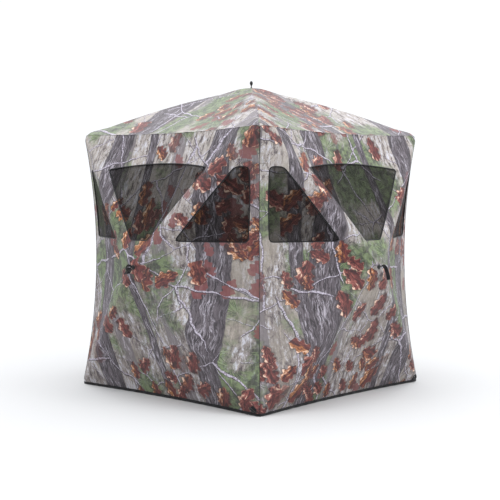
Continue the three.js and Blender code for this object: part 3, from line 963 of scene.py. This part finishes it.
def moulded(name, shade, rough=0.42):
    g = Graph(name)
    grain = g.noise(g.position(), 900.0, 3.0, 0.6)
    scuff = g.noise(g.position(), 60.0, 5.0, 0.65)
    g.bump(grain, 0.18, 0.0003)
    low, high = tone(shade, shade, shade + 2), tone(shade + 22, shade + 22, shade + 24)
    colour = g.mix(g.ramp(scuff, 0.5, 0.75) * 0.5, low, high)
    return g.finish(colour, scuff * 0.25 + rough - 0.1, Specular_IOR_Level=0.5)


def rod():
    g = Graph("fibreglass")
    x, y, z = g.parts(g.position())
    wrap = g.math("SINE", (x + y * 1.3 + z * 0.8) * 900.0 + g.noise(g.position(), 60.0) * 3.0)
    fibre = g.noise(g.position(), 700.0, 4.0, 0.7)
    colour = g.mix(g.ramp(fibre, 0.35, 0.7), tone(52, 52, 50), tone(104, 102, 96))
    colour = g.mix(g.ramp(wrap, 0.7, 1.0) * 0.2, colour, tone(150, 148, 140))
    g.bump(fibre, 0.15, 0.0003)
    return g.finish(colour, fibre * 0.2 + 0.28, Specular_IOR_Level=0.6, Coat_Weight=0.3)


def metal(name, shade):
    g = Graph(name)
    brushed = g.noise(g.position(), 800.0, 4.0, 0.7)
    low, high = tone(shade - 20, shade - 20, shade - 18), tone(shade + 15, shade + 14, shade + 12)
    colour = g.mix(brushed, low, high)
    g.bump(brushed, 0.1, 0.0002)
    return g.finish(colour, brushed * 0.2 + 0.25, Metallic=1.0)


CAMO = camo_cloth()
NET = net_cloth()
INSIDE = coated_inside()
WEBBING = webbing("black_webbing", 20)
BINDING = webbing("edge_binding", 19)
PLASTIC = moulded("black_plastic", 16)
BOOT = moulded("boot_plastic", 30, 0.5)
ROD = rod()
FERRULE = metal("ferrule", 150)
ZIP = moulded("zip_teeth", 20, 0.35)


# ---- the cloth faces ----

BINDING_THICK = 0.0009
BINDING_LAP = 0.0012
CLOTH_EDGE = 55  # the angle, in degrees, from which an edge of a sheet shows sharp


def band_section(width, thick, lap):
    """A folded binding's section about a cloth edge: distance from the edge, and depth."""
    outer = [(width, -0.6), (width * 0.8, -1), (0.0, -1), (-lap, -0.4)]
    inner = [(-lap, 0.6), (0.0, 1), (width * 0.8, 1), (width, 0.4)]
    return [(away, thick * d) for away, d in outer] + [(away, CLOTH + thick * d) for away, d in inner]


def directions(line, closed):
    """Unit vectors along a line and to its right."""
    if closed:
        along = np.roll(line, -1, 0) - np.roll(line, 1, 0)
    else:
        along = np.gradient(line, axis=0)
    along /= np.linalg.norm(along, axis=1)[:, None]
    return along, np.stack([along[:, 1], -along[:, 0]], 1)


def skin_faces(count, sides, closed, start=0):
    """The faces of a band or tube: count rings of sides points each."""
    faces = []
    for i in range(count if closed else count - 1):
        near, far = start + i * sides, start + (i + 1) % count * sides
        faces += [(near + a, near + (a + 1) % sides, far + (a + 1) % sides, far + a) for a in range(sides)]
    if not closed:
        end = start + count * sides
        faces += [range(start, start + sides)[::-1], range(end - sides, end)]
    return faces


def band_on_face(name, k, lines, section, material, closed=True):
    """The section swept along lines of a face. Returns the band and its points' places on the face."""
    flats, depths, faces = [], [], []
    for line in lines:
        faces += skin_faces(len(line), len(section), closed, len(depths))
        side = directions(line, closed)[1]
        flats.append(np.stack([line + side * away for away, _ in section], 1).reshape(-1, 2))
        depths += [depth for _, depth in section] * len(line)
    flat = np.concatenate(flats)
    return solid(name, on_face(k, flat, np.array(depths)), faces, material), flat


def two_layers(k, flat, outer, inner):
    """Points of a face at two depths inside its creased cloth."""
    lift = creases(flat, k)
    return [place(k, flat, depth - lift) for depth in (outer, inner)]


@cache
def wall_mesh(with_door):
    holes = [middle_window(), side_window(-1), door_outline(DOOR_GAP) if with_door else side_window(1)]
    return holes, *fill(wall_face.outline(), holes, wall_face.diagonals())


def make_wall(k):
    name = WALLS[k]
    with_door = k == DOOR_WALL
    holes, flat, tris = wall_mesh(with_door)
    skin = cloth(f"{name}_wall_cloth", k, two_layers(k, flat, 0, CLOTH), tris, flat, CAMO, INSIDE)
    dress(skin, f"{name}_wall_skin", sharp=CLOTH_EDGE)
    follow_hub(skin, k, np.tile(share_on_face(k, flat), 2))

    section = band_section(0.0045, BINDING_THICK, BINDING_LAP)
    edging, places = band_on_face(f"{name}_window_edging", k, holes, section, BINDING)
    dress(edging)
    follow_hub(edging, k, share_on_face(k, places))
    area_within(wall_face.outline(), holes) * 1.07

    low, high = WINDOW_SILL - NET_MARGIN, WINDOW_TOP + WINDOW_ARCH / 2 + NET_MARGIN / 2
    right = (MIDDLE_SILL_HALF + NET_MARGIN, MIDDLE_TOP_HALF + NET_MARGIN) if with_door else NET_HALF
    band = resample([(-NET_HALF[0], low), (right[0], low), (right[1], high), (-NET_HALF[1], high)], CELL)
    flat, tris = fill(band)
    sag = NET_DEPTH + 0.0015 + 0.0012 * noise_at(flat, 5.0, 91.0 + k)
    layers = [place(k, flat, sag), place(k, flat, sag + NET_THICK)]
    net = cloth(f"{name}_net_cloth", k, layers, tris, flat, NET)
    dress(net, f"{name}_window_net", sharp=CLOTH_EDGE)
    follow_hub(net, k, np.tile(wall_face.pop(*flat.T), 2))


def make_roof():
    outline = roof_face.outline()
    flat, tris = fill(outline, (), roof_face.diagonals())
    roof = cloth("roof_cloth", None, two_layers(None, flat, 0, CLOTH), tris, flat, CAMO, INSIDE)
    dress(roof, "roof_skin", sharp=CLOTH_EDGE)
    follow_hub(roof, None, np.tile(share_on_face(None, flat), 2))


# ---- solid pieces ----


def tube(path, radii, sides=12, closed=False, flat=False):
    """A tube along a path. radii is one number or one for each point. A flat tube keeps level, and its two
    radii are its half height and half width."""
    path = np.asarray(path, float)
    count = len(path)
    tangent = np.roll(path, -1, 0) - np.roll(path, 1, 0) if closed else np.gradient(path, axis=0)
    tangent /= np.linalg.norm(tangent, axis=1)[:, None]
    up = np.array([0.0, 0.0, 1.0])
    if abs(tangent[0] @ up) > 0.9:
        up = np.array([1.0, 0.0, 0.0])
    first = []
    for t in tangent:
        n = up - t * (up @ t)
        first.append(n / np.linalg.norm(n))
        if not flat:
            up = first[-1]
    first = np.array(first)
    second = np.cross(tangent, first)
    tall, wide = (np.full(count, r) for r in (radii if flat else (radii, radii)))
    turn = np.arange(sides) * 2 * math.pi / sides
    ring = first[:, None] * np.cos(turn)[:, None] * tall[:, None, None]
    ring = ring + second[:, None] * np.sin(turn)[:, None] * wide[:, None, None]
    return (path[:, None] + ring).reshape(-1, 3), skin_faces(count, sides, closed)


def lathe(profile, sides=32):
    """A turned solid about +Z from its (radius, height) profile, which starts and ends on the axis."""
    turn = np.arange(sides) * 2 * math.pi / sides
    count = len(profile) - 2
    rings = [np.stack([r * np.cos(turn), r * np.sin(turn), np.full(sides, z)], 1) for r, z in profile[1:-1]]
    verts = np.concatenate([*rings, [[0, 0, profile[0][1]], [0, 0, profile[-1][1]]]])
    low, high, last = count * sides, count * sides + 1, (count - 1) * sides
    faces = skin_faces(count, sides, False)[:-2]
    faces += [((j + 1) % sides, j, low) for j in range(sides)]
    faces += [(last + j, last + (j + 1) % sides, high) for j in range(sides)]
    return verts, faces


def joined(parts):
    verts, faces, start = [], [], 0
    for v, f in parts:
        verts.append(v)
        faces += [[i + start for i in face] for face in f]
        start += len(v)
    return np.concatenate(verts), faces


def bevelled(piece, width):
    """Rounds a piece's edges."""
    modifier = piece.modifiers.new("bevel", "BEVEL")
    modifier.width = width
    modifier.segments = 3
    modifier.limit_method = "ANGLE"
    modifier.angle_limit = math.radians(30)
    modifier.harden_normals = False
    mesh = bpy.data.meshes.new_from_object(piece.evaluated_get(bpy.context.evaluated_depsgraph_get()))
    piece.modifiers.clear()
    old = piece.data
    piece.data = mesh
    bpy.data.meshes.remove(old)
    mesh.name = piece.name


def rounded_copy(node, name, body, material, width):
    """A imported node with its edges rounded."""
    source = frame["nodes"][node]
    mesh = source.data.copy()
    mesh.transform(source.matrix_world)
    piece = bpy.data.objects.new(name, mesh)
    scene.collection.objects.link(piece)
    mesh.materials.clear()
    mesh.materials.append(material)
    bm = bmesh.new()
    bm.from_mesh(mesh)
    bmesh.ops.remove_doubles(bm, verts=bm.verts, dist=1e-5)
    bmesh.ops.dissolve_limit(bm, angle_limit=math.radians(2), verts=bm.verts, edges=bm.edges)
    bm.to_mesh(mesh)
    bm.free()
    for attribute in ("custom_normal", "sharp_face"):
        if attribute in mesh.attributes:
            mesh.attributes.remove(mesh.attributes[attribute])
    mesh.polygons.foreach_set("use_smooth", np.ones(len(mesh.polygons), bool))
    bevelled(piece, width)
    dress(piece, node, body, 40)


# ---- seams, hem and stake tabs ----

WELT = 0.0014
HEM_HALF = (0.0094, 0.0052)
STAKE_TAB = 0.043
STAKE_TAB_PLACE = 0.748


def make_seams():
    q = np.linspace(-1, 1, 121)
    for k in range(4):
        flat = np.stack(wall_edge("left", q)[:2], 1)
        post = new_object(f"{POSTS[k]}_corner_seam", *tube(place(k, flat, -0.0012), WELT, 8), BINDING)
        dress(post, body="cabin")
        flat = np.stack(wall_edge("top", q)[:2], 1)
        path = place(k, flat, -0.0008)
        path[:, 2] += 0.0007 * np.sin(q * 95.0 + k) + 0.0005 * np.sin(q * 41.0)
        eave = new_object(f"{WALLS[k]}_eave_seam", *tube(path, WELT * 1.1, 8), CAMO)
        set_print(eave.data, np.repeat(flat + (0, 0.02), 8, 0), PRINT_STEP * k)
        dress(eave, body="cabin")

    path = []
    low = HEM_HALF[0] + 0.0006
    for k in range(4):
        s, _, out = wall_edge("bottom", q[:-1])
        out = out + 0.0015 + 0.0012 * np.sin(s * 70 + k) * (1 - q[:-1] ** 4)
        path.append(turned(np.stack([s, -(half_width(0) + out), low + 0 * s], 1), k))
    path = soften_tips(np.concatenate(path))
    path[:, 2] = low
    hem = new_object("hem_binding_cloth", *tube(path, HEM_HALF, closed=True, flat=True), BINDING)
    dress(hem, "hem_binding", "cabin")

    section = [(6, -0.3), (4.5, -1.1), (-4.5, -1.1), (-6, -0.3), (-6, 0.5), (6, 0.5)]
    section = [(away / 1000, depth / 1000) for away, depth in section]
    lines = [line[3:-1] for line in roof_face.diagonals()]
    hips, flat = band_on_face("roof_hip_seams", None, lines, section, CAMO, False)
    set_print(hips.data, flat + 0.4, 1.0)
    dress(hips)
    follow_hub(hips, None, share_on_face(None, flat))


def make_stake_tab(k):
    half, low = STAKE_TAB / 2, HEM_HEIGHT + 0.001
    shape = [(-half, 0), (half, 0), (half, 0.55 * STAKE_TAB), (0, STAKE_TAB), (-half, 0.55 * STAKE_TAB)]
    outline = resample(rounded([(STAKE_TAB_PLACE + x, low + y) for x, y in shape], 0.002, 3), 0.004)
    flat, tris = fill(outline, cell=0.005)
    name = f"{POSTS[(k + 1) % 4]}_stake_tab"
    tab = cloth(f"{name}_webbing", k, two_layers(k, flat, -0.0032, -0.0004), tris, flat, WEBBING)
    dress(tab, name, "cabin", CLOTH_EDGE)


# ---- hubs and poles ----

HUB_RADIUS = 0.044
HUB_THICK = 0.020
SLOT_WIDTH = 0.014
SLOT_INNER = 0.020
PIN_RADIUS = 0.002
PIN_PLACE = 0.030
PIN_HALF = 0.0105
POLE_RADIUS = 0.0043
POLE_START = 0.024
POLE_SHORT = 0.052  # how far a pole ends from the face's corner
TIP_DEPTH = 0.022
ROD_RINGS = 72


def face_frame(k, points):
    """Points about a hub, given across, up and out of the face, as points of the cabin."""
    x, y, z = np.transpose(points)
    if k is None:
        return np.stack([x, y, WALL_HEIGHT + ROOF_RISE - HUB_SET + z], 1)
    return turned(np.stack([x, -(half_width(HUB_Z) + BULGE - HUB_SET + z), HUB_Z + y], 1), k)


def hub_corners(k):
    """The face's corners from its hub, and their names."""
    signs = [(1, 1), (-1, 1), (-1, -1), (1, -1)]
    if k is None:
        names = ["back_right", "back_left", "front_left", "front_right"]
        return [(name, (sx * TOP_HALF, sy * TOP_HALF)) for name, (sx, sy) in zip(names, signs)]
    upper, lower = (TOP_HALF, WALL_HEIGHT - HUB_Z), (FOOT_HALF, HUB_Z - HEM_HEIGHT)
    ends = [(sx * x, sy * y) for (sx, sy), (x, y) in zip(signs, (upper, upper, lower, lower))]
    return list(zip(CORNERS, ends))


def hub_outline(angles):
    """A disc with a slot cut in from its rim for each pole."""
    points = []
    order = sorted(angles)
    half = SLOT_WIDTH / 2
    rim = math.sqrt(HUB_RADIUS ** 2 - half ** 2)
    lean = math.asin(half / HUB_RADIUS)
    for angle, after in zip(order, [*order[1:], order[0] + 2 * math.pi]):
        c, s = math.cos(angle), math.sin(angle)
        for x, y in ((rim, -half), (SLOT_INNER, -half), (SLOT_INNER, half), (rim, half)):
            points.append((x * c - y * s, x * s + y * c))
        for u in np.linspace(angle + lean, after - lean, 12)[1:-1]:
            points.append((HUB_RADIUS * math.cos(u), HUB_RADIUS * math.sin(u)))
    return np.array(points)


def make_hub(k):
    name = f"{face_name(k)}_hub"
    angles = [math.atan2(y, x) % (2 * math.pi) for _, (x, y) in hub_corners(k)]
    outline = hub_outline(angles)
    count = len(outline)
    half = HUB_THICK / 2
    verts = np.concatenate([np.c_[outline, np.full(count, z)] for z in (-half, half)])
    moulding = solid(f"{name}_moulding", face_frame(k, verts), skin_faces(2, count, False), PLASTIC)
    bevelled(moulding, 0.0014)
    dress(moulding, name, name, 40)

    profile = [(0, -4), (19, -4), (18, 3), (12, 9), (7.8, 12), (6.8, 14.5), (0, 14.5)]
    boss, faces = lathe([(r / 1000, half + z / 1000) for r, z in profile])
    dress(solid(f"{name}_boss", face_frame(k, boss), faces, PLASTIC), body=name, sharp=35)

    nut = [(0, -6), (6, -6), (7.2, -5), (7.2, 1), (15, 1), (0, 1)]
    washer = [(0, -1.8), (13, -1.8), (13.8, -1), (13.8, 1), (0, 1)]
    parts = [lathe([(r / 1000, z / 1000 - half) for r, z in ring], n) for ring, n in ((nut, 6), (washer, 32))]
    for angle in angles:
        at = PIN_PLACE * np.array([math.cos(angle), math.sin(angle), 0])
        along = PIN_HALF * np.array([-math.sin(angle), math.cos(angle), 0])
        parts.append(tube([at - along, at + along], PIN_RADIUS, 10))
    verts, faces = joined(parts)
    dress(solid(f"{name}_fixings", face_frame(k, verts), faces, FERRULE), body=name, sharp=35)


def along_pole(k, corner, r):
    """Points of a pole's line at distances r from its hub, and their shares of the hub's travel."""
    reach = math.hypot(*corner)
    x, y = (v * r / reach for v in corner)
    peak = ROOF_RISE if k is None else BULGE
    p = 1 - r / reach
    lift = p * peak + POLE_BOW * 4 * p * (1 - p)
    height = lift - TIP_DEPTH - (HUB_SET - TIP_DEPTH) * p
    share = np.clip(lift / peak, 0, 1)
    if k is None:
        return np.stack([x, y, WALL_HEIGHT + height], 1), share
    return turned(np.stack([x, -(half_width(HUB_Z + y) + height), HUB_Z + y], 1), k), share


def make_poles(k):
    for end, corner in hub_corners(k):
        name = f"{face_name(k)}_pole_{end}"
        last = math.hypot(*corner) - POLE_SHORT
        path, share = along_pole(k, corner, np.linspace(POLE_START, last, ROD_RINGS))
        pole = new_object(f"{name}_rod", *tube(path, POLE_RADIUS), ROD)
        dress(pole, name)
        follow_hub(pole, k, np.repeat(share, 12))

        parts, shares = [], []
        sleeves = [(POLE_START, 0.030, 0.0056), (last * 0.5, 0.075, 0.0058), (last - 0.052, 0.050, 0.0060)]
        for start, length, radius in sleeves:
            r = start + np.array([0, 0.001, *np.linspace(0.002, length - 0.002, 6), length - 0.001, length])
            path, share = along_pole(k, corner, r)
            parts.append(tube(path, radius * np.array([0.9, 0.97, *[1] * 6, 0.97, 0.9]), 16))
            shares.append(np.repeat(share, 16))
        ferrules = new_object(f"{name}_ferrules", *joined(parts), FERRULE)
        dress(ferrules, sharp=45)
        follow_hub(ferrules, k, np.concatenate(shares))


# ---- pulls ----

STRAP_WIDTH = 0.022
STRAP_OUT = 0.012
HANGING_STRAP = [(0, 0), (10, 7), (22, 6), (32, -4), (40, -20), (47, -38), (54, -58), (58, -74)]
BUNCHED_STRAP = [
    (0, 0), (8, 8), (22, 12), (36, 9), (42, -2), (33, -10),
    (18, -9), (12, -15), (20, -22), (38, -24), (52, -32),
]


def smooth_path(points, steps):
    """A Catmull-Rom curve through the points."""
    p = np.array(points, float)
    p = np.concatenate([2 * p[:1] - p[1:2], p, 2 * p[-1:] - p[-2:-1]])
    u = np.linspace(0, 1, steps, endpoint=False)[:, None]
    out = []
    for a, b, c, d in zip(p, p[1:], p[2:], p[3:]):
        bend, skew = 2 * a - 5 * b + 4 * c - d, 3 * b - a - 3 * c + d
        out.append(0.5 * (2 * b + (c - a) * u + bend * u ** 2 + skew * u ** 3))
    return np.concatenate([*out, p[-2:-1]])


def make_strap(k):
    name = WALLS[k]
    bunched = name == "left"
    line = smooth_path(BUNCHED_STRAP if bunched else HANGING_STRAP, 6) / 1000
    normal = -directions(line, False)[1]
    length = np.concatenate([[0], np.cumsum(np.linalg.norm(np.diff(line, axis=0), axis=1))])
    share = (length / length[-1])[:, None]
    across = np.linspace(-1, 1, 9)
    cup = 0.0016 * np.sin(share * 5.0 + 1) * across ** 2
    half = STRAP_WIDTH / 2 * (1 - 0.55 * np.exp(-(share / 0.16) ** 2))
    thick = (0.0019 if bunched else 0.0013) + 0.0012 * np.clip((share - 0.72) / 0.05, 0, 1)
    twist = 1.3 * np.sin(math.pi * (0.08 + 0.75 * share))
    turn, lean = np.sin(twist), np.cos(twist)
    flat = across * half
    layers = []
    for sign in (1, -1):
        lift = cup + sign * thick * (1 - 0.25 * across ** 8)
        rise = lift * lean + flat * turn
        out = line[:, :1] + normal[:, :1] * rise
        up = line[:, 1:] + normal[:, 1:] * rise
        side = flat * lean - lift * turn + 0.004 * np.sin(share * 3.0)
        layers.append(np.stack([side, up, out + HUB_SET + STRAP_OUT], 2).reshape(-1, 3))
    rows, columns = out.shape
    size = rows * columns
    faces = []
    for i in range(rows - 1):
        for a in range(i * columns, (i + 1) * columns - 1):
            quad = [a, a + 1, a + columns + 1, a + columns]
            faces += [quad, [v + size for v in quad[::-1]]]
    grid = np.arange(size).reshape(rows, columns)
    rim = [*grid[:, 0], *grid[-1, 1:], *grid[-2::-1, -1], *grid[0, -2:0:-1]]
    faces += [(rim[i - 1], rim[i], rim[i] + size, rim[i - 1] + size) for i in range(len(rim))]
    strap = solid(f"{name}_pull_webbing", face_frame(k, np.concatenate(layers)), faces, WEBBING)
    dress(strap, f"{name}_pull_strap", f"{name}_pull_strap", 60)

    half = [(6, -12), (8.5, -4), (7.5, 1), (4, 2.5)]
    loop = [(-x, 0, z) for x, z in half] + [(x, 0, z) for x, z in half[::-1]]
    loop = smooth_path(loop, 5) / 1000 + (0, 0, HUB_SET + STRAP_OUT)
    profile = [(0, -3), (16, -3), (17, -1), (15, 1.2), (8, 2.2), (0, 2.2)]
    patch = lathe([(r / 1000, HUB_SET + z / 1000) for r, z in profile])
    verts, faces = joined([tube(loop, 0.0014, 10), patch])
    mount = solid(f"{name}_pull_mount", face_frame(k, verts), faces, PLASTIC)
    dress(mount, body=f"{name}_hub", sharp=45)


def make_roof_pull():
    profile = [
        (0, 0.2), (7, 0.2), (7.4, 1.4), (6.8, 3.0), (4.6, 5.0), (3.6, 8), (3.4, 14), (4.2, 17),
        (6.2, 20.5), (8.6, 25), (9.9, 30), (10, 35), (9, 40), (6.6, 44.5), (3.2, 47.2), (0, 47.6),
    ]
    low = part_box("roof_pull")[0][2]
    pull = solid("roof_pull_knob", *lathe([(r / 1000, low + z / 1000) for r, z in profile], 40), PLASTIC)
    dress(pull, "roof_pull", "roof_hub", 50)


# ---- the door ----

HINGE_STRIP = 0.085
TAPE_LAP = 0.012
TAPE_DEPTHS = (0.0022, 0.0034)
TOOTH_DEPTHS = (0.0022, 0.0002)
TOOTH_PITCH = 0.0032
TOOTH_LONG = 0.34 * TOOTH_PITCH
TOOTH_HALF = 0.0017
TOOTH_SHIFT = 0.0008


def make_door():
    k = DOOR_WALL
    outline = door_outline()
    flat, tris = fill(outline)
    panel = cloth("door_cloth", k, two_layers(k, flat, 0, CLOTH), tris, flat, CAMO, INSIDE)
    dress(panel, "door_panel", sharp=CLOTH_EDGE)
    section = [(-away, depth) for away, depth in band_section(0.006, BINDING_THICK, 0.0008)]
    edging, edging_flat = band_on_face("door_edging", k, [door_edge(0)], section, BINDING, False)
    dress(edging)

    axis = joints["door_open"]["pos_m"]
    ends = turned([[DOOR_HINGE - away, -axis[1], HUB_Z] for away in (0, HINGE_STRIP)], k)
    for piece, places in ((panel, np.tile(flat, (2, 1))), (edging, edging_flat)):
        set_blend(piece, "door_facet", "door", *ends, smooth((DOOR_HINGE - places[:, 0]) / HINGE_STRIP))

    top, bottom = TAPE_DEPTHS
    section = [(TAPE_LAP, top), (TAPE_LAP, bottom), (-TAPE_LAP, bottom), (-TAPE_LAP, top)]
    tape, _ = band_on_face("door_zip_tape_cloth", k, [outline], section, BINDING)
    dress(tape, "door_zip_tape", "door_facet", 50)

    edge = resample(door_edge(0.0015), TOOTH_PITCH, closed=False)
    flat, depths, faces = [], [], []
    for i, (spot, along, side) in enumerate(zip(edge, *directions(edge, False))):
        shift = TOOTH_SHIFT if i % 2 else -TOOTH_SHIFT
        for depth in TOOTH_DEPTHS:
            for u, v in ((-1, -1), (1, -1), (1, 1), (-1, 1)):
                flat.append(spot + along * u * TOOTH_LONG + side * (v * TOOTH_HALF + shift))
                depths.append(depth)
        faces += skin_faces(2, 4, False, i * 8)
    teeth = solid("door_zip_teeth", on_face(k, np.array(flat), np.array(depths)), faces, ZIP)
    dress(teeth, body="door_facet", sharp=30)
    rounded_copy("door_zip_slider", "door_slider_body", "door_slider", ZIP, 0.0011)


for wall in range(4):
    make_wall(wall)
    make_stake_tab(wall)
    make_strap(wall)
make_roof()
make_seams()
for face in (0, 1, 2, 3, None):
    make_hub(face)
    make_poles(face)
make_roof_pull()
make_door()
for post in POSTS:
    for level in ("upper", "lower"):
        boot = f"{level}_{post}_corner_boot"
        rounded_copy(boot, f"{level}_{post}_boot_moulding", "cabin", BOOT, 0.003)
